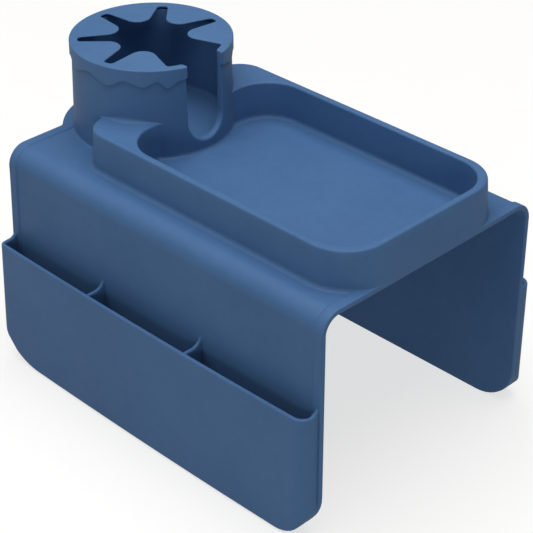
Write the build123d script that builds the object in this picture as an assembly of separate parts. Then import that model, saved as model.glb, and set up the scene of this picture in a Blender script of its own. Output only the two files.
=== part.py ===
from build123d import *
import math
import os

os.makedirs("parts", exist_ok=True)

# Sofa arm tray: a moulded silicone saddle that straddles a sofa arm, with a pocket on
# each side, a walled tray and a cup well on top, and a lift-off cap whose petals grip
# the cup.  Millimetres, +Z up, +X along the sofa arm towards the open tray end, and
# the origin under the middle of the overall box.

# ---- driving dimensions -------------------------------------------------------------
# saddle
arm_width = 197.0            # sofa arm between the two flaps
saddle_length = 308.0        # along the arm
deck_height = 171.2          # bottom of the flaps to the top of the deck
sheet = 2.8                  # wall of the deck and the flaps
shoulder_radius = 14.0       # outside of the bend between deck and flap
flap_corner = 40.0           # rounded lower corners of the flaps
hem_width = 8.0              # raised band along both open ends
hem_rise = 1.0               # how far that band stands proud
fit_gap = 0.2                # clearance round what is let into the saddle
seat_depth = 0.4             # how far the tray wall and the well are let into the deck

# flexing shoulders
flap_inward = 10.0           # degrees that a flap can hug a narrower arm
bend_gap = 0.2               # slit between deck and flap at the bend line

# cup well
cup_radius = 57.7            # outside
cup_wall = 5.5
cup_height = 65.4            # deck top to the well's rim
cup_floor = 4.0
cup_floor_edge = 1.5         # chamfer where the floor meets the bore
cup_from_rear = 42.4         # well axis to the saddle's rear edge
lobe_margin = 9.1            # round lobe of the deck beyond the well
lobe_edge = 1.0              # chamfer on the lobe's edges

# slot for a mug handle, in the well and the cap
slot_width = 32.8
slot_sill = 7.0              # deck top to the lowest point of the slot
slot_edge = 1.2              # chamfer on the slot's edges

# tray
tray_ledge = 9.0             # flat of the deck left beside the tray
tray_setback = 0.0           # foot of the tray's front to the saddle's front edge
tray_height = 28.5
tray_wall = 5.6
tray_draft = 2.4             # degrees, at the sides and the rear
tray_front_lean = 3.1        # the front wall leans back this far from foot to rim
tray_front_corner = 34.0
tray_rear_corner = 22.0
tray_hollow_corner = 29.0
tray_rear_from_cup = 7.6     # rear ends of the tray, ahead of the well's axis
hollow_rear_from_cup = 43.6  # rear of the tray's hollow, ahead of the well's axis
tray_rim_edge = 1.0          # chamfer on the rim

# side pockets
pocket_depth = 15.4          # outside, from the flap's face, at the ends
pocket_bow = 1.7             # extra depth in the middle
pocket_rim = 99.0            # height of the pocket's rim above the floor
pocket_wall = 3.0
pocket_corner = 10.0         # upright corners
pocket_lower_corner = 36.0
pocket_inset = 1.7           # pocket ends to the saddle's ends
pocket_edge = 1.2            # chamfer on the rim
rear_bay = 91.6              # clear length of the rear compartment
middle_bay = 96.0            # clear length of the middle compartment
web_radius = 8.0             # fillet where a divider or end wall climbs the flap

# grip cap
cap_plate = 3.0              # thickness of the top
cap_clearance = 0.3          # skirt over the well
skirt_wall = 1.2
skirt_depth = 8.8            # below the top of the cap, at the crests
drip_count = 14
drip_drop = 5.3              # drips below the crests
cap_edge = 0.8               # chamfer round the top
cap_end_corner = 2.0         # rounding of the cap's two ends

# petals
petal_count = 7              # places round the cap; the one at the handle slot is open
petal_reach = 26.4           # from the well's bore in to a petal's tip
petal_half_angle = 31.5      # degrees between a petal's axis and its sides
petal_slit = 3.54            # half the width of the slit between two petals, at the bore
petal_slit_corner = 2.6      # rounding at the blind end of each slit
petal_root_inset = 5.9       # from the well's bore in to the bend line of a petal
petal_upward = 20.0          # degrees that a petal can bend up
petal_gap = 0.15             # slit at the bend line

# ---- places that follow from them ---------------------------------------------------
half_width = arm_width / 2 + sheet
lobe_radius = cup_radius + lobe_margin
lobe_overhang = max(lobe_radius - cup_from_rear, 0.0)
overall_length = saddle_length + lobe_overhang
front_x = overall_length / 2
rear_x = front_x - saddle_length
cup_x = rear_x + cup_from_rear
cup_bore = cup_radius - cup_wall
cap_base_z = deck_height + cup_height
cap_top_z = cap_base_z + cap_plate
slot_radius = slot_width / 2
slot_centre_z = deck_height + slot_sill + slot_radius
skirt_inner = cup_radius + cap_clearance
cap_radius = skirt_inner + skirt_wall
petal_tip = cup_bore - petal_reach
petal_root = cup_bore - petal_root_inset
petal_pitch = 360.0 / petal_count
petal_lean = math.radians(petal_half_angle)
slit_lean = petal_lean - math.radians(petal_pitch / 2)
petal_apex = (petal_slit + cup_bore * math.sin(slit_lean)) / math.sin(petal_lean)
petal_tip_radius = (petal_tip - petal_apex) / (1 / math.sin(petal_lean) - 1)
slot_half_angle = math.degrees(math.asin(slot_radius / cap_radius))
bend_radius = shoulder_radius + hem_rise
bend_y = half_width - shoulder_radius + bend_radius * math.sin(math.radians(45))
bend_z = deck_height - shoulder_radius + bend_radius * math.sin(math.radians(45))
tray_half_width = half_width - shoulder_radius - tray_ledge
tray_front_x = front_x - tray_setback
tray_rear_x = cup_x + tray_rear_from_cup
draft_in = tray_height * math.tan(math.radians(tray_draft))
hollow_rear_x = cup_x + hollow_rear_from_cup
hollow_front_x = tray_front_x - tray_front_lean - tray_wall
hollow_half_width = tray_half_width - draft_in - tray_wall
pocket_front_x = front_x - pocket_inset
pocket_rear_x = rear_x + pocket_inset
far = 2 * overall_length     # long enough to cut through anything


def save(part, name):
    """Write one piece of the tray to its own file."""
    export_step(part, os.path.join("parts", name + ".step"))


def upright_block(x0, x1, y0, y1, z0, z1):
    """Box given by its two opposite corners."""
    middle = Pos((x0 + x1) / 2, (y0 + y1) / 2, (z0 + z1) / 2)
    return middle * Box(x1 - x0, y1 - y0, z1 - z0)


def upright_cylinder(radius, z0, z1):
    """Cylinder about the well's axis, its seam on the side away from the tray."""
    return extrude(Pos(cup_x, 0, z0) * Rot(0, 0, 180) * Circle(radius), z1 - z0)


# ---- saddle -------------------------------------------------------------------------
def channel(rise, x0, x1):
    """Upturned U section of the saddle, its outside grown by rise, run from x0 to x1."""
    top = deck_height + rise
    outer = Pos(0, top / 2) * Rectangle(2 * (half_width + rise), top)
    outer = fillet(outer.vertices().group_by(Axis.Y)[-1], shoulder_radius + rise)
    under = deck_height - sheet
    inner = Pos(0, under / 2) * Rectangle(arm_width, under)
    inner = fillet(inner.vertices().group_by(Axis.Y)[-1], shoulder_radius - sheet)
    section = Plane.YZ.offset(x0) * (outer - inner)
    return extrude(section, x1 - x0)


def side_outline(corner, x0, x1):
    """Side view with rounded lower corners, as a block right through the saddle."""
    top = deck_height + far
    outline = Pos((x0 + x1) / 2, top / 2) * Rectangle(x1 - x0, top)
    outline = fillet(outline.vertices().group_by(Axis.Y)[0], corner)
    return extrude(Plane.XZ * outline, far, both=True)


def tray_plan(grow, front_grow):
    """Outside of the tray in plan, its rear corners tighter than its front ones."""
    x0 = tray_rear_x - grow
    x1 = tray_front_x + front_grow
    plan = Pos((x0 + x1) / 2, 0) * Rectangle(x1 - x0, 2 * (tray_half_width + grow))
    plan = fillet(plan.vertices().group_by(Axis.X)[-1], tray_front_corner + front_grow)
    return fillet(plan.vertices().group_by(Axis.X)[0], tray_rear_corner + grow)


def hollow_plan(grow):
    """The tray's hollow in plan, its outline grown by this much."""
    middle = Pos((hollow_rear_x + hollow_front_x) / 2, 0)
    length = hollow_front_x - hollow_rear_x + 2 * grow
    width = 2 * (hollow_half_width + grow)
    return middle * RectangleRounded(length, width, tray_hollow_corner + grow)


def pocket_plan(inset):
    """Pocket on the +Y flap in plan: straight on the flap, bowed outside, round corners."""
    x0 = pocket_rear_x + inset
    x1 = pocket_front_x - inset
    y1 = half_width + pocket_depth - inset
    radius = pocket_corner - inset
    back = Line((x1, half_width), (x0, half_width))
    rear_end = Line((x0, half_width), (x0, y1 - radius))
    front_end = Line((x1, half_width), (x1, y1 - radius))
    lean = radius * (1 - math.sin(math.radians(45)))
    rear_turn = ThreePointArc((x0, y1 - radius), (x0 + lean, y1 - lean), (x0 + radius, y1))
    front_turn = ThreePointArc((x1, y1 - radius), (x1 - lean, y1 - lean), (x1 - radius, y1))
    crown = ((x0 + x1) / 2, y1 + pocket_bow)
    bow = ThreePointArc((x0 + radius, y1), crown, (x1 - radius, y1))
    return make_face([back, rear_end, rear_turn, bow, front_turn, front_end])


def pocket_block(inset, z0, z1):
    """The pocket's plan run upwards, with the pocket's rounded lower corners."""
    block = extrude(Pos(0, 0, z0) * pocket_plan(inset), z1 - z0)
    corner = pocket_lower_corner - inset
    outline = side_outline(corner, pocket_rear_x + inset, pocket_front_x - inset)
    return block & (Pos(0, 0, z0) * outline)


def bend_wedge(angle, slit):
    """Everything on the flap's side of the +Y bend line, down from a face at this angle."""
    radial = Vector(math.cos(math.radians(45)), math.sin(math.radians(45)))
    along = Vector(radial.Y, -radial.X)
    pivot = Vector(bend_y, bend_z) + along * slit
    reach = 3 * shoulder_radius
    lean = math.radians(225 + angle)
    inner = pivot + Vector(math.cos(lean), math.sin(lean)) * reach
    outer = pivot + radial * reach
    points = [
        (outer.X, outer.Y),
        (pivot.X, pivot.Y),
        (inner.X, inner.Y),
        (inner.X, -reach),
        (outer.X + reach, -reach),
        (outer.X + reach, outer.Y),
    ]
    return extrude(Plane.YZ * make_face(Polyline(*points, close=True)), far, both=True)


whole_sheet = channel(0, rear_x, front_x)
rear_hem = channel(hem_rise, rear_x, rear_x + hem_width)
front_hem = channel(hem_rise, front_x - hem_width, front_x)
saddle = (whole_sheet + rear_hem + front_hem) & side_outline(flap_corner, rear_x, front_x)

# the tray wall is let into the deck, and the hems stop at the tray and at the pockets
seat_z = deck_height - seat_depth
tray_floor = extrude(Pos(0, 0, seat_z) * hollow_plan(-fit_gap), seat_depth)
seats = extrude(Pos(0, 0, seat_z) * tray_plan(fit_gap, fit_gap), tray_height) - tray_floor
pocket_seat = pocket_block(-fit_gap, -fit_gap, pocket_rim + web_radius)
seats += pocket_seat
seats += mirror(pocket_seat, Plane.XZ)

# the lobe carries the well past the rear edge, level with the hem
lobe = upright_cylinder(lobe_radius, deck_height - sheet, deck_height + hem_rise)
lobe = chamfer(lobe.edges().filter_by(GeomType.CIRCLE), lobe_edge)
lobe &= upright_block(-far, rear_x + hem_width, -far, far, 0, far)

cup_seat = upright_cylinder(cup_radius + fit_gap, seat_z, cap_top_z)
near_side = mirror(bend_wedge(0, 0), Plane.XZ)
deck = (saddle + lobe) - seats - cup_seat - bend_wedge(0, 0) - near_side
save(deck, "saddle_deck")

far_flap = (saddle & bend_wedge(flap_inward + 1, bend_gap)) - seats
save(far_flap, "far_flap")
save(mirror(far_flap, Plane.XZ), "near_flap")

# ---- pockets ------------------------------------------------------------------------
cavity = pocket_block(pocket_wall, pocket_wall, pocket_rim + web_radius)
divider_x = [
    pocket_rear_x + pocket_wall + rear_bay,
    pocket_rear_x + 2 * pocket_wall + rear_bay + middle_bay,
]


def climbing_web(x0):
    """Hollow quarter fillet, one wall thick, from the rim up on to the +Y flap's face."""
    corner = Pos(half_width, pocket_rim)
    square = corner * Rectangle(web_radius, web_radius, align=(Align.MIN, Align.MIN))
    bite = corner * Pos(web_radius, web_radius) * Circle(web_radius)
    return extrude(Plane.YZ.offset(x0) * (square - bite), pocket_wall)


pocket = pocket_block(0, 0, pocket_rim) - cavity
rim_edges = pocket.edges().filter_by(Plane.XY).group_by(Axis.Z)[-1]
free_edges = rim_edges.filter_by(lambda edge: edge.center().Y > half_width + pocket_corner / 2)
pocket = chamfer(free_edges, pocket_edge)
pocket += climbing_web(pocket_rear_x)
pocket += climbing_web(pocket_front_x - pocket_wall)
save(pocket, "far_pocket")
save(mirror(pocket, Plane.XZ), "near_pocket")

for place, x0 in zip(("rear", "front"), divider_x):
    slab = upright_block(x0, x0 + pocket_wall, 0, far, 0, pocket_rim)
    divider = (cavity & slab) + climbing_web(x0)
    save(divider, "far_divider_" + place)
    save(mirror(divider, Plane.XZ), "near_divider_" + place)

# ---- tray ---------------------------------------------------------------------------
tray_foot = Pos(0, 0, deck_height) * tray_plan(0, 0)
tray_top = Pos(0, 0, deck_height + tray_height) * tray_plan(-draft_in, -tray_front_lean)
tray = loft([tray_foot, tray_top], ruled=True)
tray += extrude(Pos(0, 0, seat_z) * tray_plan(0, 0), seat_depth)
tray -= extrude(Pos(0, 0, seat_z) * hollow_plan(0), tray_height + seat_depth)
tray = chamfer(tray.edges().group_by(Axis.Z)[-1], tray_rim_edge)
tray -= cup_seat
save(tray, "tray_wall")


# ---- cup well -----------------------------------------------------------------------
well = upright_cylinder(cup_radius, seat_z, cap_base_z)
bore = upright_cylinder(cup_bore, deck_height + cup_floor, cap_base_z)
bore = chamfer(bore.edges().group_by(Axis.Z)[0], cup_floor_edge)

# round-bottomed slot through the +X side of the wall, open at the top, with soft edges
slot_plan = Pos(0, slot_centre_z + far / 2) * Rectangle(slot_width, far)
slot_plan += Pos(0, slot_centre_z) * Circle(slot_radius)
well = well - bore - extrude(Plane.YZ.offset(cup_x + cup_bore / 2) * slot_plan, cap_radius)


def round_the_slot(edge):
    """True of the edges that the slot leaves in the wall's inner and outer faces."""
    place = edge.center()
    within_slot = abs(place.Y) < slot_radius + fit_gap and place.X > cup_x + cup_bore / 2
    return within_slot and deck_height + slot_sill < place.Z < cap_base_z - fit_gap


slot_sides = well.edges().filter_by(round_the_slot).filter_by(Axis.X, reverse=True)
well = chamfer(slot_sides, slot_edge)
save(well, "cup_well")

# ---- grip cap -----------------------------------------------------------------------
spread = math.tan(petal_lean) * (cap_radius - petal_apex)
petal_side = [(cap_radius, -spread), (cap_radius, spread)]
petal_outline = make_face(Polyline((petal_apex, 0), *petal_side, close=True))
petal_outline = fillet(petal_outline.vertices().group_by(Axis.X)[0], petal_tip_radius)

opening = Circle(cup_bore)
for step in range(1, petal_count):
    opening -= Rot(0, 0, step * petal_pitch) * petal_outline
slit_ends = [v for v in opening.vertices() if abs(v.center().length - cup_bore) < 0.01]
opening = fillet(slit_ends, petal_slit_corner)

gap = Pos(cap_radius, 0) * Rectangle(2 * cap_radius, slot_width)
plate_plan = Circle(cap_radius) - opening - gap
arm_ends = [v for v in plate_plan.vertices() if abs(abs(v.center().Y) - slot_radius) < 0.01]
plate_plan = fillet(arm_ends, cap_end_corner)


def beyond_root(reach):
    """Plan of all that lies outside the petals' bend lines, moved inwards by reach."""
    area = Circle(2 * cap_radius)
    for step in range(1, petal_count):
        strip = Pos(petal_root - reach - cap_radius, 0) * Rectangle(2 * cap_radius, 2 * cup_bore)
        sector = Rot(0, 0, step * petal_pitch) * (strip & petal_outline)
        area -= sector
    return area


ring_plan = plate_plan & beyond_root(0)
cap = extrude(Pos(cup_x, 0, cap_base_z) * ring_plan, cap_plate)
top_arcs = cap.edges().filter_by(GeomType.CIRCLE).group_by(Axis.Z)[-1]
cap = chamfer(top_arcs.sort_by(SortBy.RADIUS)[-1], cap_edge)

skirt_ring = Circle(cap_radius) - Circle(skirt_inner) - gap
skirt_top = cap_base_z
skirt_crest = cap_top_z - skirt_depth
skirt = extrude(Pos(cup_x, 0, skirt_crest) * skirt_ring, skirt_top - skirt_crest)
drip_zone = extrude(Pos(cup_x, 0, skirt_crest - drip_drop) * skirt_ring, drip_drop)

drip_pitch = (360.0 - 2 * slot_half_angle) / drip_count
half_drip = skirt_inner * math.sin(math.radians(drip_pitch / 2))
turn_x = half_drip / 2
turn_y = drip_drop / 2
drip_radius = (turn_x ** 2 + turn_y ** 2) / (2 * turn_y)
drip_line = [
    Line((-half_drip, turn_y), (half_drip, turn_y)),
    Line((half_drip, turn_y), (half_drip, 0)),
    RadiusArc((half_drip, 0), (turn_x, -turn_y), -drip_radius),
    RadiusArc((turn_x, -turn_y), (-turn_x, -turn_y), drip_radius),
    RadiusArc((-turn_x, -turn_y), (-half_drip, 0), -drip_radius),
    Line((-half_drip, 0), (-half_drip, turn_y)),
]
drip = extrude(Plane.YZ * make_face(drip_line), 2 * cap_radius)
for step in range(drip_count):
    angle = slot_half_angle + (step + 0.5) * drip_pitch
    tongue = Pos(cup_x, 0, skirt_crest) * Rot(0, 0, angle) * drip
    skirt += drip_zone & tongue
cap += skirt
save(cap, "grip_cap")


# ---- petals -------------------------------------------------------------------------
root_lean = cap_plate * math.tan(math.radians(petal_upward + 1))
petal_plan = petal_outline & (Pos(petal_root / 2, 0) * Rectangle(petal_root, 4 * cup_bore))
petal = extrude(Pos(0, 0, cap_base_z) * petal_plan, cap_plate)
root_cut = make_face(Polyline(
    (petal_root - petal_gap, cap_base_z),
    (petal_root - petal_gap - root_lean, cap_top_z),
    (petal_root + root_lean, cap_top_z),
    (petal_root + root_lean, cap_base_z),
    close=True))
petal -= extrude(Plane.XZ * root_cut, cap_radius, both=True)
for step in range(1, petal_count):
    save(Pos(cup_x, 0, 0) * Rot(0, 0, step * petal_pitch) * petal, f"grip_petal_{step}")
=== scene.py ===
import bmesh
import bpy
import numpy as np
from mathutils import Matrix, Vector


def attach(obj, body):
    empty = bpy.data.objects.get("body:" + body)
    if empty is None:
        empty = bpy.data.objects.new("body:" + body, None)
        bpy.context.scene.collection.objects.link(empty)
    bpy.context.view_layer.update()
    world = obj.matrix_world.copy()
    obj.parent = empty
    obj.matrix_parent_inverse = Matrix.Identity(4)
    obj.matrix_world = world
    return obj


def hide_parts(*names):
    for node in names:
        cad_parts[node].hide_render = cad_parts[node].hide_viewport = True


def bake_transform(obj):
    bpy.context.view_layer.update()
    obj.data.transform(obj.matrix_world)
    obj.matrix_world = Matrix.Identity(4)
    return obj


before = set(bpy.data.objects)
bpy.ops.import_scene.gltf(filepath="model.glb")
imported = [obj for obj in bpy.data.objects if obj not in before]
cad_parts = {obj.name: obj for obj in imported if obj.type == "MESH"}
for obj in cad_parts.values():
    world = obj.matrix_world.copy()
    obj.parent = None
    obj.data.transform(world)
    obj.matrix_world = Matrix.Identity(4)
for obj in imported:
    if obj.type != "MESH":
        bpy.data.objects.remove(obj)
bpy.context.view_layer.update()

# Sofa arm tray in moulded silicone.  Lengths of the shapes are millimetres in the frame of
# the CAD part and become metres where a mesh is made.  +X runs along the sofa arm towards
# the open tray end, and the near side is the side at -Y.  Short arrays of numbers along a
# face are the places where it is sampled: closer together where it curves.

# ---- sizes shared by the pieces ------------------------------------------------------
REAR_X = -141.8
FRONT_X = 166.2
DECK_Z = 171.2
SHEET = 2.8
HALF_WIDTH = 101.3
SHOULDER = 14.0
FLAP_CORNER = 40.0            # lower corner of a flap at the rear
FLAP_FRONT_CORNER = 31.0      # and at the front
REAR_LEAN = 0.05              # the flaps and pockets reach further back lower down
LEAN_WIDTH = 45.0             # the lean dies out over this length from the rear edge
LEAN_START = 10.0             # and sets in over this height below the shoulder
HEM_WIDTH = 8.0
HEM_RISE = 1.0
HEM_FOOT = (-0.8, 0.6)        # soft foot of the raised band, from its nominal width
SEAM_Y = 75.0                 # deck and side sheets meet here, under the tray's long walls
SHEET_EDGE = 1.0              # rounding of the sheet's free edges
UNDER_EDGE = 0.6              # rounding of the deck's lower edges

CUP_X = -99.4
CUP_RADIUS = 57.7             # at the height of the tray's rim
CUP_DRAFT = 0.025             # the well's wall widens downwards
CUP_BORE = 52.2
CUP_TOP = 236.6
CUP_FLOOR = 175.2
CUP_FOOT = 2.0                # fillet between the well and the deck
FLOOR_FILLET = 3.0            # fillet between the well's floor and its bore
LOBE_RADIUS = 66.8
LOBE_SOFT = 0.9               # softness of the corner between the lobe and the rear edge
SLOT = 15.9                   # half the width of the handle slot
SLOT_Z = 195.7                # centre of the slot's round bottom
SLOT_SOFT = 2.1               # rounding of the slot's edges

TRAY_TOP = 199.7
TRAY_FRONT = 166.15           # foot of the front wall, a hair behind the deck's edge
TRAY_REAR = -89.8
TRAY_SIDE = 78.3
TRAY_FRONT_CORNER = 34.0
TRAY_REAR_CORNER = 22.0
TRAY_TAIL = 3.4               # the rear end curls back this far where it meets the well
HOLLOW_FRONT = 157.5
HOLLOW_REAR = -53.4
HOLLOW_SIDE = 71.5
HOLLOW_CORNER = 29.0
HOLLOW_BLEND = 12.0           # upright fillet between the hollow's wall and the well
TRAY_DRAFT = np.tan(np.radians(2.4))
TRAY_FRONT_LEAN = 3.1 / 28.5  # the front wall leans back more than the sides
TRAY_FOOT = 3.0
RIM_SOFT = 1.5
WEB_SIZE = 3.4                # fillet between the tray's top and the well, at its middle
WEB_ENDS = (38.5, 80.5)       # where it starts and ends, in degrees round the well

POCKET_REAR = -140.1
POCKET_FRONT = 164.5
POCKET_OUT = 116.7
POCKET_BOW = 1.7
POCKET_RIM = 99.0
POCKET_WALL = 3.0
POCKET_CORNER = 10.0          # upright corner of a pocket at the front
POCKET_REAR_CORNER = 5.0      # and at the rear
CORNER_STEPS = 14             # steps round an upright corner
POCKET_LOWER = 34.0           # lower corner of a pocket at the rear
POCKET_FRONT_LOWER = 25.0     # and at the front
POCKET_FOOT = 1.4             # the pockets end this far above the flaps
POCKET_SOFT = 1.3             # rounding of a pocket's rim
POCKET_EDGE = 1.1             # rounding of its lower edge outside
POCKET_INNER_EDGE = 1.6       # and inside
RIM_CLIMB = 8.0               # hollow quarter circle with which a rim climbs the flap
NEAR_FLAP = np.array([-0.3, 0.0, 0.08, 0.3, 0.7, 1.3, 2.1, 3.1, 4.2])   # sampled there
DIVIDER_FOOT = 3.4            # lower end of a divider, in the pocket's floor
DIVIDERS = {"rear": -45.5, "front": 53.5}   # the rear face of each

CAP_TOP = 239.6
CAP_RADIUS = 58.4
SKIRT_WALL = 1.2
CAP_EDGE = 1.1                # thickness of the cap along the star's edge
CAP_SLOPE = 3.2               # width over which it thickens again underneath
CAP_SOFT = 0.7                # rounding of its top edges
CAP_UNDER_SOFT = 0.4          # rounding under a petal's thin edge
CAP_END = 2.0                 # rounding in plan of the cap's ends at the handle gap
PITCH = 360.0 / 7             # six petals and the handle gap share the turn
PETAL_ROOT = 46.3             # distance of a petal's bend line from the well's axis
PETAL_CENTRE = 35.6           # of the centre of its round tip
PETAL_ROUND = 9.8             # radius of that tip
PETAL_SIDE = np.radians(31.5)  # slope of its sides against its axis
SLIT_CORNER = 2.6             # fillet at the blind end of a slit
ACROSS = (0.08, 0.35, 0.65, 0.92)   # shares of the way across the cap's top


# ---- making meshes out of grids ------------------------------------------------------
def smooth_step(t):
    """0 before 0, 1 after 1, and 3t^2 - 2t^3 between them."""
    t = np.clip(t, 0.0, 1.0)
    return t * t * (3 - 2 * t)


def quarter(steps):
    """Sine and cosine of a quarter turn in equal steps, from 0 to 90 degrees."""
    turn = np.linspace(0.0, np.pi / 2, steps + 1)
    return np.sin(turn), np.cos(turn)


def points(x, y, z):
    """One array (..., 3) out of three that broadcast to the same shape."""
    return np.stack(np.broadcast_arrays(x, y, z), axis=-1).astype(float)


def ring(grid):
    """The grid with its first column repeated after its last, so that it closes."""
    return np.concatenate([grid, grid[:, :1]], axis=1)


def piece(name, grids, fills=(), crease=35.0):
    """A closed mesh from grids (rows, columns, 3): neighbours in a grid make a quad, every
    fill is a ring of points closed by one flat face, and shared edges are merged."""
    verts, faces, first = [], [], 0
    for grid in grids:
        rows, columns = grid.shape[:2]
        index = first + np.arange(rows * columns).reshape(rows, columns)
        quads = np.stack([index[:-1, :-1], index[1:, :-1], index[1:, 1:], index[:-1, 1:]], -1)
        verts.append(grid.reshape(-1, 3))
        faces += quads.reshape(-1, 4).tolist()
        first += rows * columns
    for fill in fills:
        verts.append(np.asarray(fill))
        faces.append(list(range(first, first + len(fill))))
        first += len(fill)
    mesh = bpy.data.meshes.new(name)
    mesh.from_pydata((np.concatenate(verts) * 0.001).tolist(), [], faces)
    work = bmesh.new()
    work.from_mesh(mesh)
    bmesh.ops.remove_doubles(work, verts=work.verts, dist=3e-6)
    bmesh.ops.dissolve_degenerate(work, dist=1e-6, edges=work.edges)
    bmesh.ops.recalc_face_normals(work, faces=work.faces)
    work.to_mesh(mesh)
    work.free()
    mesh.shade_smooth()
    mesh.set_sharp_from_angle(angle=np.radians(crease))
    obj = bpy.data.objects.new(name, mesh)
    bpy.context.scene.collection.objects.link(obj)
    return obj


def dressed(obj, material, slot, *nodes):
    """Gives a piece its finish and hides the CAD nodes that it stands for."""
    obj.data.materials.append(material)
    if nodes:
        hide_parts(*nodes)
    return obj


# ---- finishes ------------------------------------------------------------------------
def silicone(name, dark, light, rough):
    """Matt moulded silicone: a slow cloudiness between two blues, a finer mottle, a rubbed
    bloom that changes the gloss, and the fine grain that a blasted mould leaves."""
    material = bpy.data.materials.new(name)
    material.use_nodes = True
    tree = material.node_tree
    tree.nodes.clear()
    add = tree.nodes.new
    link = tree.links.new
    out = add("ShaderNodeOutputMaterial")
    shader = add("ShaderNodeBsdfPrincipled")
    shader.inputs["IOR"].default_value = 1.43
    shader.inputs["Specular IOR Level"].default_value = 0.3
    shader.inputs["Sheen Weight"].default_value = 0.02
    shader.inputs["Sheen Roughness"].default_value = 0.45
    link(shader.outputs["BSDF"], out.inputs["Surface"])
    place = add("ShaderNodeTexCoord")

    def noise(scale, detail, roughness):
        node = add("ShaderNodeTexNoise")
        node.inputs["Scale"].default_value = scale
        node.inputs["Detail"].default_value = detail
        node.inputs["Roughness"].default_value = roughness
        link(place.outputs["Object"], node.inputs["Vector"])
        return node.outputs["Fac"]

    def maths(operation, first, second):
        node = add("ShaderNodeMath")
        node.operation = operation
        for socket, value in zip(node.inputs, (first, second)):
            if isinstance(value, (int, float)):
                socket.default_value = value
            else:
                link(value, socket)
        return node.outputs["Value"]

    cloud = noise(9.0, 3.0, 0.55)
    mottle = noise(160.0, 4.0, 0.6)
    bloom = noise(28.0, 5.0, 0.62)
    grain = noise(2600.0, 2.0, 0.5)
    pebble = noise(900.0, 3.0, 0.55)

    blend = maths("ADD", maths("MULTIPLY", cloud, 0.7), maths("MULTIPLY", mottle, 0.3))
    ramp = add("ShaderNodeValToRGB")
    ramp.color_ramp.elements[0].position = 0.36
    ramp.color_ramp.elements[0].color = (*dark, 1.0)
    ramp.color_ramp.elements[1].position = 0.64
    ramp.color_ramp.elements[1].color = (*light, 1.0)
    link(blend, ramp.inputs["Fac"])
    link(ramp.outputs["Color"], shader.inputs["Base Color"])

    spread = add("ShaderNodeMapRange")
    spread.inputs["From Min"].default_value = 0.3
    spread.inputs["From Max"].default_value = 0.7
    spread.inputs["To Min"].default_value = rough - 0.05
    spread.inputs["To Max"].default_value = rough + 0.07
    link(maths("ADD", maths("MULTIPLY", bloom, 0.75), maths("MULTIPLY", grain, 0.25)),
         spread.inputs["Value"])
    link(spread.outputs["Result"], shader.inputs["Roughness"])

    bump = add("ShaderNodeBump")
    bump.inputs["Strength"].default_value = 0.35
    bump.inputs["Distance"].default_value = 0.00006
    link(maths("ADD", maths("MULTIPLY", grain, 0.6), pebble), bump.inputs["Height"])
    link(bump.outputs["Normal"], shader.inputs["Normal"])
    return material


# ---- saddle --------------------------------------------------------------------------
def hem(x):
    """Rise of the raised band: full near both ends, let down over a soft foot."""
    inside = np.minimum(x - REAR_X, FRONT_X - x) - HEM_WIDTH
    return HEM_RISE * (1 - smooth_step((inside - HEM_FOOT[0]) / (HEM_FOOT[1] - HEM_FOOT[0])))


def deck_rear(y, inset):
    """Rear edge of the deck at a width y, moved in by inset: the straight edge and the
    lobe's circle about the well, whichever is further back, softly joined."""
    chord = np.sqrt(np.maximum((LOBE_RADIUS - inset) ** 2 - y ** 2, 0.0))
    straight = np.full_like(chord, REAR_X + inset)
    return -LOBE_SOFT * np.logaddexp(-straight / LOBE_SOFT, (chord - CUP_X) / LOBE_SOFT)


def deck_sheet():
    """Deck and lobe: at each width y a closed section in x and z, that is the top with its
    two hems, the rounded front edge, the underside and the rounded rear edge."""
    y = np.linspace(-SEAM_Y, SEAM_Y, 141)[:, None]
    sine, cosine = quarter(6)
    foot = REAR_X + HEM_WIDTH + np.linspace(*HEM_FOOT, 7)
    flat = np.linspace(foot[-1] + 0.5, FRONT_X - HEM_WIDTH - 1.1, 26)
    front_foot = FRONT_X - HEM_WIDTH - np.linspace(*HEM_FOOT, 7)[::-1]
    edge = FRONT_X - SHEET_EDGE
    fixed = np.concatenate([foot, flat, front_foot, [edge - 3.0, edge - 0.4, edge]])
    behind = deck_rear(y, SHEET_EDGE)
    share = np.array([0.0, 0.05, 0.2, 0.5, 0.8, 0.97])
    top_x = np.hstack([behind + (foot[0] - behind) * share,
                       np.repeat(fixed[None], len(y), 0)])
    top = points(top_x, y, DECK_Z + hem(top_x))
    under = DECK_Z - SHEET

    top_z = DECK_Z + HEM_RISE
    front = points(edge + SHEET_EDGE * sine, y, top_z - SHEET_EDGE * (1 - cosine))
    front_low = points(FRONT_X - UNDER_EDGE * (1 - cosine), y, under + UNDER_EDGE * (1 - sine))
    belly = points(np.linspace(FRONT_X - UNDER_EDGE - 1, REAR_X + 12, 10)[None], y, under)
    rear_low = points(deck_rear(y, UNDER_EDGE * (1 - sine)), y,
                      under + UNDER_EDGE * (1 - cosine))
    rear_top = points(deck_rear(y, SHEET_EDGE * (1 - cosine)), y,
                      top_z - SHEET_EDGE * (1 - sine))
    section = np.concatenate([top, front, front_low, belly, rear_low, rear_top], axis=1)
    return piece("deck_sheet", [ring(section)], [section[0], section[-1]])


def lean_back(grid):
    """A grid with its rear part drawn backwards, the more so the lower a point lies, so that
    the rear edge leans while all that lies further forward keeps its place."""
    below = np.maximum(DECK_Z - SHOULDER - grid[..., 2], 0.0)
    share = 1 - smooth_step((grid[..., 0] - REAR_X) / LEAN_WIDTH)
    shift = REAR_LEAN * below ** 2 / (below + LEAN_START) * share
    return grid - shift[..., None] * np.array([1.0, 0.0, 0.0])


def corner_rise(inside, radius, inset):
    """Height of a rounded lower corner above the lower edge, inside mm from the end."""
    within = np.minimum(inside, radius)
    reach = (radius - inset) ** 2 - (radius - within) ** 2
    return radius - np.sqrt(np.maximum(reach, 0.0))


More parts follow.
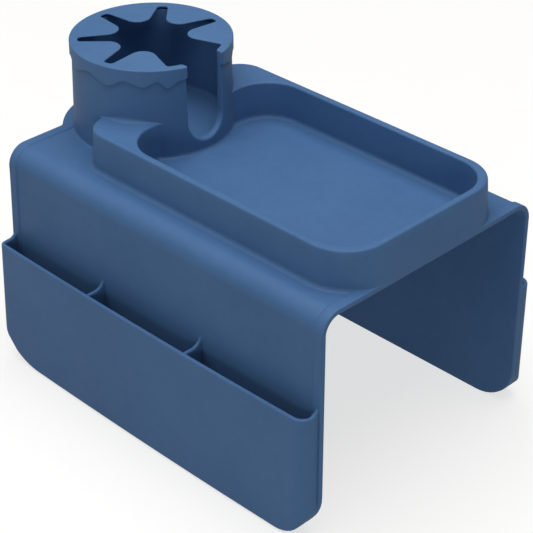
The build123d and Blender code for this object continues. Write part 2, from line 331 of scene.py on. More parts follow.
def side_sheet(name, side):
    """Shoulder and flap: a curve (seam, shoulder arc, flap down to its rounded lower edge)
    carried along x and thickened along its normal, all free edges rounded by moving the
    outline in by 1 - cos while the thickness closes by 1 - sin."""
    length = FRONT_X - REAR_X
    corner = FLAP_CORNER * (1 - np.cos(np.linspace(0, np.pi / 2, 15)))[1:]
    foot = HEM_WIDTH + np.linspace(*HEM_FOOT, 6)
    ends = np.sort(np.concatenate([[SHEET_EDGE, SHEET_EDGE + 0.4], corner[corner > 2], foot]))
    middle = np.linspace(ends[-1], length - ends[-1], 14)[1:-1]
    along = np.concatenate([ends, middle, length - ends[::-1]])
    share = (along - SHEET_EDGE) / (length - 2 * SHEET_EDGE)

    turn = np.linspace(np.pi / 2, 0, 25)
    straight = HALF_WIDTH - SHOULDER
    base_y = np.concatenate([[SEAM_Y, 79.0, 83.0, 86.0], straight + SHOULDER * np.cos(turn)])
    base_z = np.concatenate([[DECK_Z] * 4, DECK_Z - SHOULDER * (1 - np.sin(turn))])
    normal_y = np.concatenate([[0.0] * 4, np.cos(turn)])
    normal_z = np.concatenate([[1.0] * 4, np.sin(turn)])
    down = np.concatenate([[156.0, 150.0], np.linspace(140, 50, 9)])
    tail = np.array([0.15, 0.4, 0.7, 0.9, 0.99, 1.0])

    def at(u, inset, height, last=False):
        """Points for shares u of the length, moved in by inset and out by height."""
        x = REAR_X + inset + (length - 2 * inset) * u
        bottom = np.where(x < 0, corner_rise(x - REAR_X, FLAP_CORNER, inset),
                          corner_rise(FRONT_X - x, FLAP_FRONT_CORNER, inset))
        if last:
            return points(x, HALF_WIDTH + height, bottom)
        low = down[-1] + (bottom - down[-1]) * tail
        shape = np.broadcast_shapes(low.shape, np.shape(height))
        count = len(base_y) + len(down)
        top = np.broadcast_to(np.concatenate([base_z, down]), shape[:-1] + (count,))
        z = np.concatenate([top, np.broadcast_to(low, shape[:-1] + (len(tail),))], axis=-1)
        out_y = np.concatenate([base_y, np.full(len(down) + len(tail), HALF_WIDTH)])
        away_y = np.concatenate([normal_y, np.ones(len(down) + len(tail))])
        away_z = np.concatenate([normal_z, np.zeros(len(down) + len(tail))])
        return points(x, out_y + away_y * height, z + away_z * height)

    def rise(u, inset):
        return hem(REAR_X + inset + (length - 2 * inset) * u)

    u = share[:, None]
    outer = at(u, SHEET_EDGE, rise(u, SHEET_EDGE))
    inner = at(u, SHEET_EDGE, np.full_like(u, -SHEET))
    sine, cosine = quarter(5)
    inset = np.concatenate([SHEET_EDGE * (1 - sine), SHEET_EDGE * (1 - sine[::-1])])
    drop = SHEET_EDGE * (1 - cosine)

    def edge_height(top):
        """Heights across a free edge, from the outer face to the inner one."""
        return np.concatenate([top - drop, np.full_like(top, -SHEET) + drop[::-1]], axis=-1)

    lower = at(u, inset, edge_height(rise(u, SHEET_EDGE)), last=True)
    ends = []
    for end in (0.0, 1.0):
        columns = [at(np.full((1, 1), end), i, np.full((1, 1), h))[0]
                   for i, h in zip(inset, edge_height(np.full(1, HEM_RISE)))]
        ends.append(np.stack(columns, axis=1))
    seam = np.stack([outer[:, 0], inner[:, 0]], axis=1)
    grids = [outer, inner, lower, seam] + ends
    fills = [ends[0][0], ends[1][0]]
    flip = np.array([1.0, side, 1.0])
    return piece(name, [lean_back(grid) * flip for grid in grids],
                 [lean_back(fill) * flip for fill in fills])


# ---- pockets -------------------------------------------------------------------------
BOW_MIDDLE = (POCKET_REAR + POCKET_FRONT) / 2
BOW_HALF = (POCKET_FRONT - POCKET_REAR) / 2 - POCKET_CORNER
BOW_RADIUS = (BOW_HALF ** 2 + POCKET_BOW ** 2) / (2 * POCKET_BOW)


def pocket_plan(inset):
    """Plan of the pocket's wall from the flap round to the flap again, moved in by inset:
    a straight end, a corner arc, the shallow bow of the front, and back."""
    rows = np.append(NEAR_FLAP, POCKET_OUT - POCKET_CORNER - HALF_WIDTH)
    turn = np.radians(np.linspace(180, 90, CORNER_STEPS + 1))[1:]
    fall = 1 - np.cos(np.linspace(0.8, np.pi / 2, 10))
    rear_end = BOW_HALF + POCKET_CORNER - POCKET_LOWER * fall
    front_end = BOW_HALF + POCKET_CORNER - POCKET_FRONT_LOWER * fall
    spread = np.concatenate([-rear_end[rear_end < BOW_HALF - 1], np.linspace(-100, 100, 15),
                             front_end[front_end < BOW_HALF - 1][::-1]])
    count = len(rows) + len(turn)
    inset = np.broadcast_to(inset, (2 * count + len(spread),))
    parts = []
    for x0, way, corner, part in ((POCKET_REAR, 1.0, POCKET_REAR_CORNER, inset[:count]),
                                  (POCKET_FRONT, -1.0, POCKET_CORNER, inset[::-1][:count])):
        end_x = x0 + way * part[:len(rows)]
        arc = corner - part[len(rows):]
        arc_x = x0 + way * (corner + arc * np.cos(turn))
        arc_y = POCKET_OUT - corner + arc * np.sin(turn)
        parts.append((np.concatenate([end_x, arc_x]),
                      np.concatenate([HALF_WIDTH + rows, arc_y])))
    lean = np.arcsin(spread / BOW_RADIUS)
    bow = inset[count:-count]
    bow_x = BOW_MIDDLE + (BOW_RADIUS - bow) * np.sin(lean)
    bow_y = POCKET_OUT + POCKET_BOW - BOW_RADIUS + (BOW_RADIUS - bow) * np.cos(lean)
    x = np.concatenate([parts[0][0], bow_x, parts[1][0][::-1]])
    y = np.concatenate([parts[0][1], bow_y, parts[1][1][::-1]])
    return x, y, len(rows)


def pocket_bottom(x, inset):
    """Height of the pocket's lower outline at x, moved in by inset."""
    return POCKET_FOOT + np.where(x < 0, corner_rise(x - POCKET_REAR, POCKET_LOWER, inset),
                                  corner_rise(POCKET_FRONT - x, POCKET_FRONT_LOWER, inset))


def rim_height(y, inset):
    """Height of a rim at y, moved down by inset: level, and near the flap a hollow quarter
    circle that climbs it."""
    near_flap = RIM_CLIMB - np.clip(y - HALF_WIDTH, 0.0, RIM_CLIMB)
    return POCKET_RIM + RIM_CLIMB - np.sqrt((RIM_CLIMB + inset) ** 2 - near_flap ** 2)


def pocket_shell(name, side):
    """Pocket: its plan carried down to a lower outline with round corners, once outside and
    once a wall's thickness in, closed by a rounded rim and by a strip on the flap."""
    sine, cosine = quarter(5)
    steps = np.array([0.0, 0.012, 0.06, 0.2, 0.4, 0.6, 0.8, 0.94, 0.988, 1.0])

    def skin(depth, soft):
        """Wall, lower edge and floor for the surface that lies depth mm in."""
        columns = []
        plan_x, plan_y, rows = pocket_plan(depth)
        square = np.zeros_like(plan_x)
        past = rows + CORNER_STEPS
        square[rows:past] = np.sin(np.linspace(0, np.pi / 2, CORNER_STEPS + 1)[1:]) ** 2
        square[past:-past] = 1.0
        square[-past:-rows] = square[rows:past][::-1]
        round_off = soft * square
        for s, c in zip(sine, cosine):
            inset = depth + round_off * (1 - c)
            x, y, rows = pocket_plan(inset)
            columns.append(points(x, y, pocket_bottom(x, depth + round_off * (1 - s))))
        edge = np.stack(columns, axis=1)
        top = rim_height(plan_y, POCKET_SOFT)[:, None]
        low = edge[:, 0, 2][:, None]
        wall = points(plan_x[:, None], plan_y[:, None], top + (low - top) * steps)
        inner = edge[rows - 1:len(plan_x) - rows + 1, -1]
        span = plan_y[rows - 1] - plan_y[0]
        share = (plan_y[:rows][::-1] - plan_y[0]) / span
        floor_y = plan_y[0] + (inner[:, 1:2] - plan_y[0]) * share
        floor = points(inner[:, 0:1], floor_y, inner[:, 2:3])
        return wall, edge, floor

    outer, outer_edge, bottom = skin(0.0, POCKET_EDGE)
    inner, inner_edge, floor = skin(POCKET_WALL, POCKET_INNER_EDGE)
    insets = np.concatenate([POCKET_SOFT * (1 - cosine), [POCKET_WALL / 2],
                             POCKET_WALL - POCKET_SOFT * (1 - cosine[::-1])])
    drops = np.concatenate([POCKET_SOFT * (1 - sine), [0.0], POCKET_SOFT * (1 - sine[::-1])])
    columns = []
    for inset, drop in zip(insets, drops):
        x, y, rows = pocket_plan(inset)
        columns.append(points(x, y, rim_height(y, drop)))
    rim = np.stack(columns, axis=1)
    back = []
    for wall, lower in ((outer, bottom), (inner, floor)):
        back.append(np.concatenate([wall[0], lower[:, -1], wall[-1, ::-1]]))
    grids = [outer, outer_edge, bottom, inner, inner_edge, floor, rim, np.stack(back, axis=1)]
    fills = [rim[0], rim[-1]]
    flip = np.array([1.0, side, 1.0])
    return piece(name, [lean_back(grid) * flip for grid in grids],
                 [lean_back(fill) * flip for fill in fills])


def pocket_divider(name, side, x0):
    """Divider: at each distance y from the flap a closed section, upright faces a wall
    apart under a rounded top edge that follows the rim's climb on to the flap."""
    offset = x0 + POCKET_WALL / 2 - BOW_MIDDLE
    front = (POCKET_OUT + POCKET_BOW - BOW_RADIUS + np.sqrt(BOW_RADIUS ** 2 - offset ** 2)
             - POCKET_WALL)
    let_in = 0.8
    y = np.concatenate([HALF_WIDTH + NEAR_FLAP, HALF_WIDTH + np.array([5.4, 6.7, 8.0, 10.0]),
                        [front + let_in]])
    sine, cosine = quarter(5)
    inset = np.concatenate([POCKET_SOFT * (1 - cosine), POCKET_WALL - POCKET_SOFT
                            * (1 - cosine[::-1])])
    drop = np.concatenate([POCKET_SOFT * (1 - sine), POCKET_SOFT * (1 - sine[::-1])])
    top = points(x0 + inset, y[:, None], rim_height(y[:, None], drop))
    fall = np.array([97.0, 95.0, 60.0, 20.0, DIVIDER_FOOT])
    first = points(x0, y[:, None], fall[::-1])
    last = points(x0 + POCKET_WALL, y[:, None], fall)
    section = np.concatenate([first, top, last], axis=1) * np.array([1.0, side, 1.0])
    return piece(name, [ring(section)], [section[0], section[-1]])


# ---- tray ----------------------------------------------------------------------------
def tray_outline(grow, front_grow, inside):
    """Outlines of the tray from the well round to the well again, each moved out by its own
    grow (its front by front_grow): four corner arcs whose radii grow, with straight runs."""
    grow, front_grow = grow[:, None], front_grow[:, None]
    if inside:
        front, rear, side = HOLLOW_FRONT, HOLLOW_REAR, HOLLOW_SIDE
        front_corner, rear_corner, first = HOLLOW_CORNER, HOLLOW_CORNER, 180.0
        grow, front_grow = -grow, -front_grow
    else:
        front, rear, side = TRAY_FRONT, TRAY_REAR, TRAY_SIDE
        front_corner, rear_corner, first = TRAY_FRONT_CORNER, TRAY_REAR_CORNER, 188.0
    rear_turn = np.radians(np.linspace(first, 270, 15))
    front_turn = np.radians(np.linspace(270, 360, 17))
    rear_x = rear + rear_corner + (rear_corner + grow) * np.cos(rear_turn)
    rear_y = -side + rear_corner + (rear_corner + grow) * np.sin(rear_turn)
    front_x = front - front_corner + (front_corner + front_grow) * np.cos(front_turn)
    front_y = -side - grow + (front_corner + front_grow) * (1 + np.sin(front_turn))
    if inside:
        centre_x = HOLLOW_REAR + HOLLOW_BLEND - CUP_X
        centre_y = -np.sqrt((CUP_RADIUS - 0.1 + HOLLOW_BLEND) ** 2 - centre_x ** 2)
        touch = np.arctan2(-centre_y, -centre_x)
        bend = np.linspace(touch, np.pi, 10)[:-1]
        run_x = CUP_X + centre_x + (HOLLOW_BLEND + grow) * np.cos(bend)
        run_y = centre_y + (HOLLOW_BLEND + grow) * np.sin(bend)
        behind = CUP_RADIUS - 1.0
        run_x = np.hstack([0 * grow + CUP_X - behind * np.cos(touch), run_x])
        run_y = np.hstack([0 * grow - behind * np.sin(touch), run_y])
    else:
        t = np.linspace(0.0, 1.0, 11)[:-1]
        start_x = TRAY_REAR - TRAY_TAIL - grow
        start_y = -np.sqrt((CUP_RADIUS - 0.4) ** 2 - (start_x - CUP_X) ** 2)
        bend_x, bend_y = TRAY_REAR + 0.1 - grow, -CUP_RADIUS + 0.1 - 0 * grow
        run_x = (1 - t) ** 2 * start_x + 2 * t * (1 - t) * bend_x + t ** 2 * rear_x[:, :1]
        run_y = (1 - t) ** 2 * start_y + 2 * t * (1 - t) * bend_y + t ** 2 * rear_y[:, :1]
    mid = np.linspace(0, 1, 16)[1:-1]
    long_x = rear_x[:, -1:] + (front_x[:, :1] - rear_x[:, -1:]) * mid
    long_y = rear_y[:, -1:] + (front_y[:, :1] - rear_y[:, -1:]) * mid
    x = np.hstack([run_x, rear_x, long_x, front_x])
    y = np.hstack([run_y, rear_y, long_y, front_y])
    cross = np.linspace(-1, 1, 9)[1:-1] * -y[:, -1:]
    return (np.hstack([x, np.repeat(x[:, -1:], 7, axis=1), x[:, ::-1]]),
            np.hstack([y, -cross[:, ::-1], -y[:, ::-1]]))


def tray_rail():
    """Tray wall: a closed section (hollow foot, drafted face, rounded rim, upright inner
    face, hollow foot) whose points ride on outlines moved in and out by their own amount."""
    sine, cosine = quarter(6)
    foot_z = DECK_Z + TRAY_FOOT * (1 - cosine)
    foot_out = TRAY_FOOT * (1 - sine)
    foot_z[0] -= 0.03   # the foot's tip ends a hair under the deck
    climb = np.array([0.3, 3.0, 12.0, 20.0, TRAY_TOP - DECK_Z - TRAY_FOOT - RIM_SOFT - 0.4])
    face_z = DECK_Z + TRAY_FOOT + climb
    z = np.concatenate([foot_z, face_z])
    rim = np.append(-RIM_SOFT * (1 - cosine), -RIM_SOFT - 0.4)
    up = np.concatenate([z, TRAY_TOP - RIM_SOFT * (1 - sine), [TRAY_TOP]])
    foot = np.concatenate([foot_out, np.zeros(len(climb))])
    height = np.append(z, np.full(len(rim), TRAY_TOP)) - DECK_Z
    flare = np.concatenate([foot, rim])
    no_foot = np.concatenate([0 * foot, rim])
    outer_x, outer_y = tray_outline(flare - height * TRAY_DRAFT,
                                    no_foot - height * TRAY_FRONT_LEAN, False)
    inner_x, inner_y = tray_outline(flare, flare, True)
    outer = points(outer_x, outer_y, up[:, None])
    inner = points(inner_x, inner_y, up[:, None])[::-1]
    buried = np.array([0.0, 0.0, -0.35])
    section = np.concatenate([outer, inner, inner[-1:] + buried, outer[:1] + buried])
    section = np.swapaxes(section, 0, 1)
    return piece("tray_rail", [ring(section)], [section[0], section[-1]])


def tray_web(name, side):
    """Hollow fillet where the tray's top meets the well: a quarter circle about the well's
    axis, its radius fading out towards both ends of the joint."""
    along = np.linspace(0, 1, 60)[:, None]
    angle = np.radians(WEB_ENDS[0] + (WEB_ENDS[1] - WEB_ENDS[0]) * along)
    size = 0.02 + WEB_SIZE * np.sin(np.pi * along)
    sine, cosine = quarter(8)
    buried = 0 * size + CUP_RADIUS - 0.5
    radius = np.hstack([CUP_RADIUS + size * (1 - sine), buried, buried, CUP_RADIUS + size])
    rise = np.hstack([size * (1 - cosine), size, 0 * size - 0.5, 0 * size - 0.5])
    x = CUP_X + radius * np.cos(angle)
    section = points(x, side * radius * np.sin(angle), TRAY_TOP + rise)
    return piece(name, [ring(section)], [section[0], section[-1]])


# ---- cup well ------------------------------------------------------------------------
def outer_wall(z):
    """Outer radius of the well at a height."""
    return CUP_RADIUS + CUP_DRAFT * (TRAY_TOP - z)


def well_wall():
    """Well: a slightly drafted outer wall and a straight bore, each a regular grid round the
    back and a grid that fans out from the handle slot to a frame (half its width, and the
    angle of its lower corners), joined by the slot's rounded edge, the rim and the foot."""
    half, corner = 25.0, 48
    wide = SLOT + SLOT_SOFT
    low_z = np.concatenate([[DECK_Z - 0.3], DECK_Z + CUP_FOOT * (1 - np.cos(np.linspace(
        0, np.pi / 2, 7))), [174.4, 178.0, 182.0, 186.5, 190.5, SLOT_Z]])
    high_z = np.concatenate([np.linspace(SLOT_Z, CUP_TOP - 0.9, 10), [CUP_TOP]])
    count = len(low_z)
    turn_left = np.linspace(-90, -corner, count)
    turn_low = np.linspace(-corner, corner, 21)
    low_count = len(turn_low) - 2
    turn = np.radians(np.concatenate([turn_left, turn_low[1:-1], -turn_left[::-1]]))
    frame_eta = np.concatenate([np.full(count, -half), half * turn_low[1:-1] / corner,
                                np.full(count, half)])
    frame_z = np.concatenate([low_z[::-1], np.full(low_count, low_z[0]), low_z])
    share = np.array([0.0, 0.06, 0.2, 0.4, 0.6, 0.75, 0.87, 0.95, 1.0])
    grids, rims, feet = [], [], []
    for foot in (CUP_FOOT, 0.0):

        def reach(z):
            """Radius of this wall at a height, flared over its foot."""
            rise = np.clip(z - DECK_Z, 0.0, foot)
            flare = foot - np.sqrt(np.maximum(foot ** 2 - (foot - rise) ** 2, 0.0))
            return flare + (outer_wall(z) if foot else CUP_BORE)

        def wrap(eta, z):
            """Points of this wall beside the slot, eta from the slot's middle plane."""
            return points(CUP_X + np.sqrt(reach(z) ** 2 - eta ** 2), eta, z)

        main_z = np.concatenate([low_z, high_z[1:]])[None]
        first = np.arcsin(half / reach(main_z))
        angle = first + (2 * np.pi - 2 * first) * np.linspace(0, 1, 181)[:, None]
        main = points(CUP_X + reach(main_z) * np.cos(angle), reach(main_z) * np.sin(angle),
                      main_z)
        sides = []
        for side in (-1.0, 1.0):
            eta = side * (wide * (1 - share) + half * share)[:, None]
            sides.append(wrap(eta, high_z[None]))
        eta = wide * np.sin(turn)[:, None] * (1 - share) + frame_eta[:, None] * share
        z = (SLOT_Z - wide * np.cos(turn))[:, None] * (1 - share) + frame_z[:, None] * share
        fan = wrap(eta, z)
        grids += [main, *sides, fan]
        rims.append([main[:, -1], sides[0][:, -1], sides[1][:, -1]])
        feet.append([main[:, 0], fan[count - 1:count + low_count + 1, -1]])
    for outer, inner in zip(rims[0] + feet[0], rims[1] + feet[1]):
        grids.append(np.stack([outer, inner], axis=1))

    sine, cosine = quarter(7)
    soft = SLOT_SOFT
    inset = np.concatenate([soft * (1 - sine), soft * (1 - sine[::-1])])
    away = (SLOT + inset)[None]
    down = high_z[::-1][:-1, None]
    eta = np.concatenate([np.repeat(-away, len(down), 0), away * np.sin(turn)[:, None],
                          np.repeat(away, len(down), 0)])
    z = np.concatenate([np.repeat(down, len(inset), 1), SLOT_Z - away * np.cos(turn)[:, None],
                        np.repeat(down[::-1], len(inset), 1)])
    outside = outer_wall(z[:, :len(sine)]) - soft * (1 - cosine)
    radius = np.hstack([outside, CUP_BORE + soft * (1 - cosine[::-1]) + 0 * outside])
    lip = points(CUP_X + np.sqrt(radius ** 2 - eta ** 2), eta, z)
    grids.append(lip)
    return piece("well_wall", grids, [lip[0], lip[-1]])


def well_floor():
    """Floor of the well: a profile turned about the axis, level and then curving up."""
    sine, cosine = quarter(6)
    level = CUP_BORE - FLOOR_FILLET
    let_in, under = CUP_BORE + 0.6, DECK_Z - 0.2
    profile_r = np.concatenate([[0.0, 20.0, 40.0, level - 0.5], level + FLOOR_FILLET * sine,
                                [let_in, let_in, 0.0]])
    profile_z = np.concatenate([[CUP_FLOOR] * 4, CUP_FLOOR + FLOOR_FILLET * (1 - cosine),
                                [CUP_FLOOR + FLOOR_FILLET, under, under]])
    angle = np.radians(np.linspace(0, 360, 145))[:, None]
    turned = points(CUP_X + profile_r * np.cos(angle), profile_r * np.sin(angle), profile_z)
    return piece("well_floor", [turned])


# ---- grip cap ------------------------------------------------------------------------
SIDE_SLOPE = np.tan(PETAL_SIDE)
APEX = PETAL_CENTRE - PETAL_ROUND / np.sin(PETAL_SIDE)


def slit_centre():
    """Centre of the fillet at the blind end of a slit, beside a petal's +y side: it lies
    one fillet from that side's line and one fillet in from the bore."""
    shift = SLIT_CORNER / np.cos(PETAL_SIDE) - SIDE_SLOPE * APEX
    radius = CUP_BORE - SLIT_CORNER
    a, b, c = 1 + SIDE_SLOPE ** 2, 2 * SIDE_SLOPE * shift, shift ** 2 - radius ** 2
    x = (-b + np.sqrt(b * b - 4 * a * c)) / (2 * a)
    return np.array([x, SIDE_SLOPE * x + shift])


def petal_edge(e):
    """Half width of a petal at its root line when its outline is moved in by e."""
    return (PETAL_ROOT - APEX) * SIDE_SLOPE - e / np.cos(PETAL_SIDE)


def turned(flat, degrees):
    """Plan points (n, 2) turned about the well's axis."""
    c, s = np.cos(np.radians(degrees)), np.sin(np.radians(degrees))
    x, y = flat[..., 0], flat[..., 1]
    return np.stack([x * c - y * s, x * s + y * c], -1)


def star_edge(e):
    """Inner outline of the cap from one side of the gap to the other, moved out by e: for
    each petal the fillet, its root line and the fillet again, with bore arcs between."""
    centre = slit_centre()
    tilt = np.arctan2(centre[1], centre[0])
    start = PETAL_SIDE - np.pi / 2
    arc = np.linspace(start, tilt, 10)
    fillet = centre + (SLIT_CORNER + e) * np.stack([np.cos(arc), np.sin(arc)], -1)
    chord_y = np.linspace(-1, 1, 33) * petal_edge(e)
    chord = np.stack([np.full(33, PETAL_ROOT), chord_y], -1)
    lower = fillet[::-1] * np.array([1.0, -1.0])
    one = np.concatenate([lower, chord, fillet])
    rows = []
    bore = CUP_BORE + e
    for step in range(1, 7):
        rows.append(turned(one, step * PITCH))
        if step < 6:
            end = np.degrees(tilt)
            arc = np.radians(step * PITCH + np.linspace(end, PITCH - end, 5)[1:-1])
            rows.append(bore * np.stack([np.cos(arc), np.sin(arc)], -1))
    return np.concatenate(rows)


def star_thickness():
    """Thickness of the cap at each point of star_edge: thin all along, and full in the
    middle of each root line, where a petal carries on."""
    line = CAP_EDGE + (CAP_TOP - CUP_TOP - CAP_EDGE) * (1 - abs(np.linspace(-1, 1, 33)))
    one = np.concatenate([np.full(10, CAP_EDGE), line, np.full(10, CAP_EDGE)])
    return np.concatenate([one, np.tile(np.append(np.full(3, CAP_EDGE), one), 5)])


def drip(angle):
    """Height of the skirt's lower edge at an angle in degrees: crests and tips of the drips,
    joined by half cosine waves."""
    places = DRIPS[:, 0]
    after = np.clip(np.searchsorted(places, angle, side="right"), 1, len(places) - 1)
    a, b = DRIPS[after - 1], DRIPS[after]
    share = np.clip((angle - a[..., 0]) / (b[..., 0] - a[..., 0]), 0, 1)
    share = (1 - np.cos(np.pi * share)) / 2
    return DECK_Z + a[..., 1] + (b[..., 1] - a[..., 1]) * share


# angle round the well from the handle gap's middle and height above the deck
DRIPS = np.array([
    [14.0, 58.8], [21.0, 57.6], [31.0, 54.6], [40.0, 59.6], [51.0, 55.4], [63.0, 59.4],
    [75.0, 54.2], [89.0, 59.6], [100.0, 54.6], [112.0, 59.2], [124.0, 55.6], [137.0, 59.6],
    [150.0, 54.2], [163.0, 59.4], [174.0, 55.0], [188.0, 59.6], [200.0, 54.0], [213.0, 59.3],
    [226.0, 55.2], [240.0, 59.5], [250.5, 55.0], [269.4, 59.6], [286.3, 53.9], [299.0, 59.3],
    [312.5, 55.5], [321.8, 59.9], [329.0, 54.2], [337.5, 58.6], [346.0, 59.8]])


def cap_ring():
    """Cap: stations round the axis, each a closed section from the star's edge over the
    rounded top edge and down the skirt to its drips; at the handle gap the stations turn
    through a quarter circle in plan, so that both ends are round."""
    sine, cosine = quarter(6)
    psi = np.linspace(0, np.pi / 2, 8)
    edge = star_edge(0.0)
    theta = np.unwrap(np.arctan2(edge[:, 1], edge[:, 0]))
    blend = np.linspace(0, 1, 9)[1:-1]

    def end_places(radius, e, drift):
        """Plan points of one arm, from its end inwards, at a radius and moved in by e."""
        inset = e + (CAP_END - e) * (1 - np.sin(psi))
        y = SLOT + e + (CAP_END - e) * (1 - np.cos(psi))
        r = radius + drift * inset
        round_end = np.stack([np.sqrt(r ** 2 - y ** 2), y], -1)
        r = radius + drift * e
        angle = (1 - blend) * np.arcsin((SLOT + CAP_END) / r) + blend * theta[0]
        return np.concatenate([round_end, np.stack([r * np.cos(angle), r * np.sin(angle)], -1)])

    def round_about(radius, e, drift, body):
        """The arm, the body between the arms, and the arm on the other side."""
        arm = end_places(radius, e, drift)
        return np.concatenate([arm, body, arm[::-1] * np.array([1.0, -1.0])])

    def inner(e):
        return round_about(CUP_BORE, e, 1.0, star_edge(e))

    def outer(depth, e):
        r = CAP_RADIUS - depth
        body = (r - e) * np.stack([np.cos(theta), np.sin(theta)], -1)
        return round_about(r, e, -1.0, body)

    edge_thickness = star_thickness()
    taper = CAP_EDGE + (CAP_TOP - CUP_TOP - CAP_EDGE) * (1 - smooth_step(blend))
    arm = np.concatenate([np.full(len(psi), CAP_TOP - CUP_TOP), taper])
    thick = np.concatenate([arm, edge_thickness, arm[::-1]])
    columns = [(inner(0.0), CAP_TOP - thick)]
    for s, c in zip(sine, cosine):
        columns.append((inner(CAP_SOFT * (1 - c)), CAP_TOP - CAP_SOFT * (1 - s)))
    inside, outside = inner(CAP_SOFT), outer(0.0, CAP_SOFT)
    for share in ACROSS:
        columns.append((inside + (outside - inside) * share, CAP_TOP))
    for s, c in zip(sine[::-1], cosine[::-1]):
        columns.append((outer(0.0, CAP_SOFT * (1 - c)), CAP_TOP - CAP_SOFT * (1 - s)))
    rim = outer(0.0, 0.0)
    around = np.degrees(np.unwrap(np.arctan2(rim[:, 1], rim[:, 0])))
    around += np.where(around[0] < 0, 360.0, 0.0)
    edge_z = drip(around)
    half = SKIRT_WALL / 2
    top = CAP_TOP - CAP_SOFT
    for share in (0.04, 0.35, 0.7, 0.95):
        columns.append((rim, top + (edge_z + half - top) * share))
    for turn in np.linspace(0, np.pi, 9):
        across = outer(half * (1 - np.cos(turn)), 0.0)
        columns.append((across, edge_z + half * (1 - np.sin(turn))))
    within = outer(SKIRT_WALL, 0.0)
    columns.append((within, CUP_TOP))
    columns.append((round_about(CUP_BORE, 0.0, 1.0, star_edge(CAP_SLOPE)), CUP_TOP))
    section = np.stack([points(CUP_X + flat[:, 0], flat[:, 1], z) for flat, z in columns],
                       axis=1)
    count = len(sine)
    outer_round = 1 + count + len(ACROSS)
    skirt = outer_round + count
    ends, faces = [], []
    for k in (0, -1):
        first, last = section[k, 1:1 + count], section[k, outer_round:skirt][::-1]
        ends.append(np.stack([first + (last - first) * share
                              for share in (0.0, *ACROSS, 1.0)], 1))
        faces.append(np.concatenate([section[k, :1], ends[-1][0], section[k, skirt:]]))
    return piece("cap_ring", [ring(section), *ends], faces)


def cap_petal(step):
    """Petal: lines that leave its axis square to the outline (clipped to the root line),
    over the top, round the thin edge and back underneath, where it thickens towards its
    axis, closed by a flat face at the root."""
    sine, cosine = quarter(5)
    side = np.linspace(0, 1, 9)[:, None]
    arc = np.linspace(np.pi / 2 + PETAL_SIDE, 3 * np.pi / 2 - PETAL_SIDE, 25)[1:-1]

    def outline(e):
        """From the root's +y end round the tip to its -y end, moved in by e."""
        join = np.array([PETAL_CENTRE - (PETAL_ROUND - e) * np.sin(PETAL_SIDE),
                         (PETAL_ROUND - e) * np.cos(PETAL_SIDE)])
        root = np.array([PETAL_ROOT, petal_edge(e)])
        up = root + (join - root) * side
        tip = np.stack([PETAL_CENTRE + (PETAL_ROUND - e) * np.cos(arc),
                        (PETAL_ROUND - e) * np.sin(arc)], -1)
        return np.concatenate([up, tip, up[::-1] * np.array([1.0, -1.0])])

    full = outline(0.0)
    foot = np.full(len(full), PETAL_CENTRE)
    count = len(side)
    foot[:count] = np.minimum(full[:count, 0] + full[:count, 1] * SIDE_SLOPE, PETAL_ROOT)
    foot[-count:] = foot[:count][::-1]
    spine = np.stack([foot, np.zeros(len(foot))], -1)
    inside = outline(CAP_SOFT)
    under = outline(CAP_UNDER_SOFT)
    columns = [(spine + (inside - spine) * share, CAP_TOP) for share in (0.0, 0.4, 0.8, 0.97)]
    for s, c in zip(sine[::-1], cosine[::-1]):
        columns.append((outline(CAP_SOFT * (1 - c)), CAP_TOP - CAP_SOFT * (1 - s)))
    for s, c in zip(sine, cosine):
        columns.append((outline(CAP_UNDER_SOFT * (1 - c)),
                        CAP_TOP - CAP_EDGE + CAP_UNDER_SOFT * (1 - s)))
    deep = CAP_TOP - CUP_TOP - CAP_EDGE
    columns += [(spine + (under - spine) * share, CAP_TOP - CAP_EDGE - deep * (1 - share))
                for share in (0.97, 0.5, 0.0)]
    grid = np.stack([points(flat[:, 0], flat[:, 1], z) for flat, z in columns], axis=1)
    root_face = np.concatenate([grid[0], grid[-1, ::-1]])
    flat = turned(grid[..., :2], step * PITCH)
    where = points(CUP_X + flat[..., 0], flat[..., 1], grid[..., 2])
    face = turned(root_face[:, :2], step * PITCH)
    fill = points(CUP_X + face[:, 0], face[:, 1], root_face[:, 2])
    return piece(f"cap_petal_{step}", [where], [fill])


# ---- build ---------------------------------------------------------------------------
BODY_BLUE = silicone("silicone_body", (0.052, 0.132, 0.296), (0.064, 0.154, 0.336), 0.52)
CAP_BLUE = silicone("silicone_cap", (0.057, 0.142, 0.312), (0.070, 0.165, 0.352), 0.50)

deck = dressed(deck_sheet(), BODY_BLUE, "body_silicone", "saddle_deck")
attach(deck, "saddle")
tray = dressed(tray_rail(), BODY_BLUE, "body_silicone", "tray_wall")
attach(tray, "saddle")
for label, way in (("near", -1.0), ("far", 1.0)):
    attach(dressed(tray_web("tray_web_" + label, way), BODY_BLUE, "body_silicone"), "saddle")
wall = dressed(well_wall(), BODY_BLUE, "body_silicone", "cup_well")
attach(wall, "saddle")
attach(dressed(well_floor(), BODY_BLUE, "body_silicone"), "saddle")

for label, way in (("near", -1.0), ("far", 1.0)):
    body = label + "_side"
    flap = dressed(side_sheet(label + "_side_sheet", way), BODY_BLUE, "body_silicone",
                   label + "_flap")
    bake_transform(flap)
    shell = dressed(pocket_shell(label + "_pocket_shell", way), BODY_BLUE, "body_silicone",
                    label + "_pocket")
    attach(shell, body)
    for place, x0 in DIVIDERS.items():
        slab = pocket_divider(f"{label}_{place}_divider", way, x0)
        dressed(slab, BODY_BLUE, "body_silicone", f"{label}_divider_{place}")
        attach(slab, body)

cap = dressed(cap_ring(), CAP_BLUE, "cap_silicone", "grip_cap")
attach(cap, "cap")
for step in range(1, 7):
    petal = dressed(cap_petal(step), CAP_BLUE, "cap_silicone", f"grip_petal_{step}")
    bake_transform(petal)

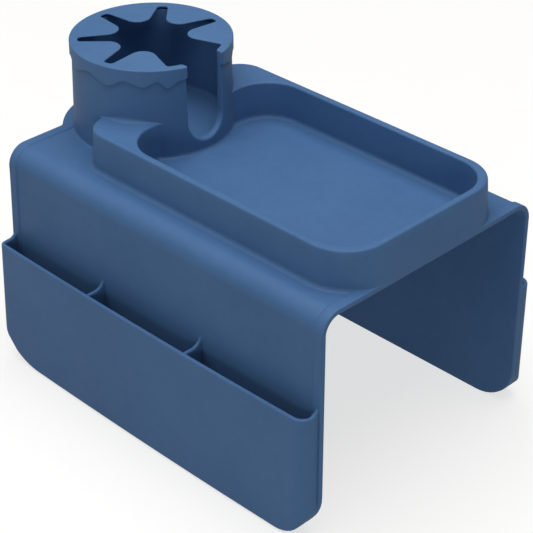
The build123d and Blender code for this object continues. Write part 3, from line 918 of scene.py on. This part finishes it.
# ---- floor, light and camera ---------------------------------------------------------
FLOOR_PALE = (0.3, 0.3, 0.3, 1.0)
FLOOR_SEEN = 0.70             # glow of the paper for the camera
FLOOR_CAST = 0.24             # and for what stands on it


def floor():
    """A level floor of white paper.  The camera sees it glow, and the object is lit by the
    fainter part of that glow, so the paper stays white while the sides keep their shade."""
    spread = np.linspace(-4000, 4000, 3)
    just_below = -0.05
    ground = points(spread[:, None], spread, just_below)
    mesh = bpy.data.meshes.new("floor")
    index = np.arange(9).reshape(3, 3)
    quads = np.stack([index[:-1, :-1], index[1:, :-1], index[1:, 1:], index[:-1, 1:]], -1)
    mesh.from_pydata((ground.reshape(-1, 3) * 0.001).tolist(), [],
                     quads.reshape(-1, 4).tolist())
    obj = bpy.data.objects.new("floor", mesh)
    bpy.context.scene.collection.objects.link(obj)
    pale = bpy.data.materials.new("floor_paper")
    pale.use_nodes = True
    shader = pale.node_tree.nodes["Principled BSDF"]
    shader.inputs["Base Color"].default_value = FLOOR_PALE
    shader.inputs["Emission Color"].default_value = (1.0, 1.0, 1.0, 1.0)
    ray = pale.node_tree.nodes.new("ShaderNodeLightPath")
    glow = pale.node_tree.nodes.new("ShaderNodeMath")
    glow.operation = "MULTIPLY_ADD"
    glow.inputs[1].default_value = FLOOR_SEEN - FLOOR_CAST
    glow.inputs[2].default_value = FLOOR_CAST
    pale.node_tree.links.new(ray.outputs["Is Camera Ray"], glow.inputs[0])
    pale.node_tree.links.new(glow.outputs["Value"], shader.inputs["Emission Strength"])
    shader.inputs["Roughness"].default_value = 0.9
    shader.inputs["Specular IOR Level"].default_value = 0.1
    obj.data.materials.append(pale)


def soft_light(name, place, target, size, power):
    """Square area light at a place, facing a target, both in metres."""
    lamp = bpy.data.lights.new(name, "AREA")
    lamp.shape = "SQUARE"
    lamp.size = size
    lamp.energy = power
    obj = bpy.data.objects.new(name, lamp)
    bpy.context.scene.collection.objects.link(obj)
    obj.location = place
    obj.rotation_euler = (Vector(target) - Vector(place)).to_track_quat("-Z", "Y").to_euler()


floor()
middle = (0.0, 0.0, 0.12)
soft_light("overhead", (0.0, 0.0, 2.3), middle, 2.2, 52.0)
soft_light("left", (-1.3, -1.3, 1.8), middle, 1.2, 6.0)
soft_light("front", (1.6, -1.6, 0.5), middle, 0.5, 7.0)

world = bpy.data.worlds.new("studio")
world.use_nodes = True
world.node_tree.nodes["Background"].inputs["Color"].default_value = (1.0, 0.90, 0.72, 1.0)
world.node_tree.nodes["Background"].inputs["Strength"].default_value = 0.2
bpy.context.scene.world = world
bpy.context.scene.view_settings.view_transform = "Standard"

# the photo's viewpoint, fitted to its edges
azimuth, elevation = np.radians(44.95), np.radians(32.25)
target, distance = Vector((0.0162, 0.0, 0.0973)), 1.23496
back = Vector((np.sin(azimuth) * np.cos(elevation), -np.cos(azimuth) * np.cos(elevation),
               np.sin(elevation)))
right = Vector((np.cos(azimuth), np.sin(azimuth), 0.0))
up = back.cross(right)
lens = bpy.data.cameras.new("camera")
lens.sensor_fit = "HORIZONTAL"
lens.sensor_width = 36.0
lens.lens = 116.93
lens.clip_end = 50.0
camera = bpy.data.objects.new("camera", lens)
bpy.context.scene.collection.objects.link(camera)
turn = Matrix((right, up, back)).transposed().to_4x4()
camera.matrix_world = Matrix.Translation(target + back * distance) @ turn
bpy.context.scene.camera = camera
